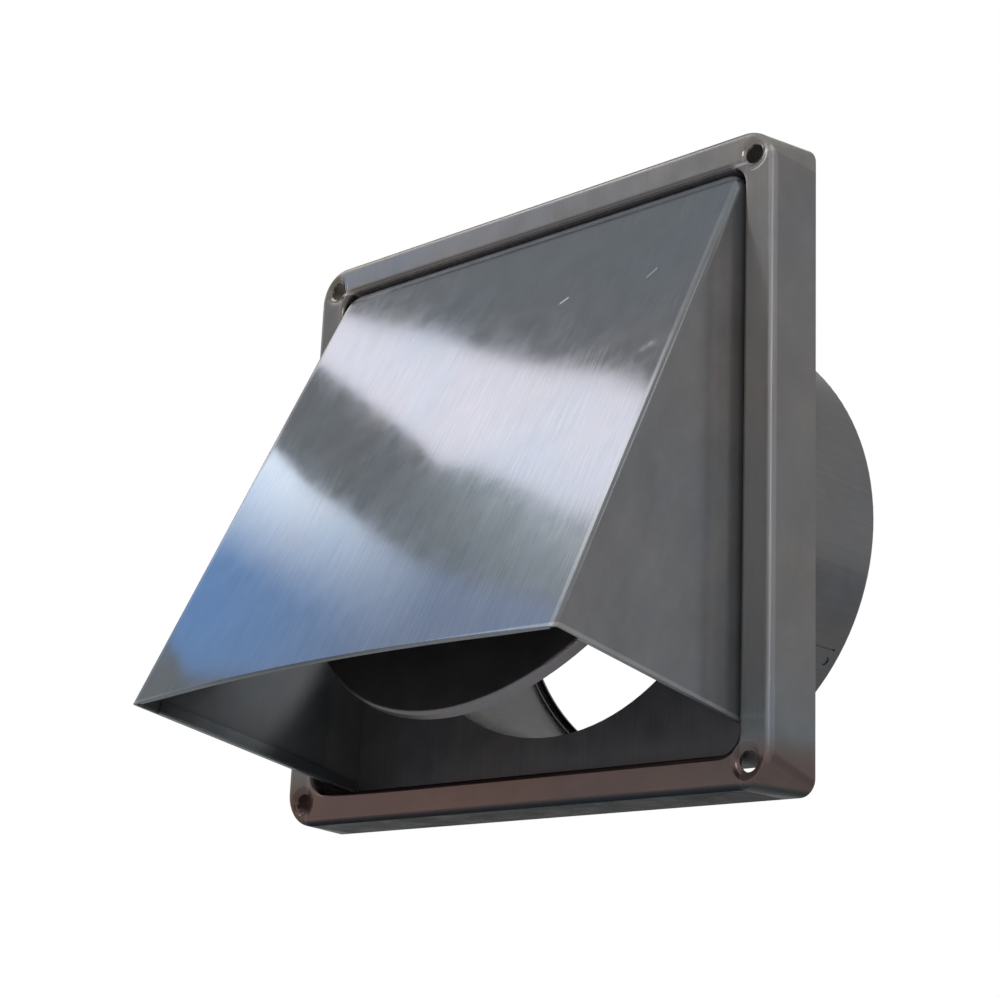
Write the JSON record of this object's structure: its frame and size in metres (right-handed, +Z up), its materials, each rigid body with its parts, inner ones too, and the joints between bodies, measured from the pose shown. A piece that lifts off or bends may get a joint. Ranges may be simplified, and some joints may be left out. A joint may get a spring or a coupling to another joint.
{
  "type": "air intake vent",
  "caption": "Stainless cowled wall vent: pressed square base plate, sloping hood open below, round duct spigot behind, and a hinged gravity flap over the duct.",
  "frame": {"origin": "on the axis of the duct spigot, in the plane of the wall that the base plate's rear edge lies on", "axes": "+X right and +Z up as the fitted vent is looked at from outside, +Y along the duct into the wall"},
  "size_m": [0.192, 0.1597, 0.191],
  "materials": {
    "base_steel": "brushed stainless steel, pressed",
    "hood_steel": "brushed stainless steel, folded, grain along the slope",
    "spigot_steel": "brushed stainless steel, rolled",
    "flap_steel": "brushed stainless steel, pressed",
    "hinge_steel": "bright drawn stainless steel"
  },
  "bodies": {
    "housing": {"base_plate": "base_steel", "cowl_hood": "hood_steel", "duct_spigot": "spigot_steel", "flap_hinge_pin": "hinge_steel", "hinge_bracket_left": "hinge_steel", "hinge_bracket_right": "hinge_steel", "pin_clip_left": "hinge_steel", "pin_clip_right": "hinge_steel", "bracket_rivets": "hinge_steel"},
    "flap": {"backdraft_flap": "flap_steel"}
  },
  "joints": [
    {"name": "flap_swing", "type": "hinge", "parent": "housing", "child": "flap", "pos_m": [0, -0.0039, 0.0745], "axis": [-1, 0, 0], "range_deg": [-16.9, 16]}
  ]
}
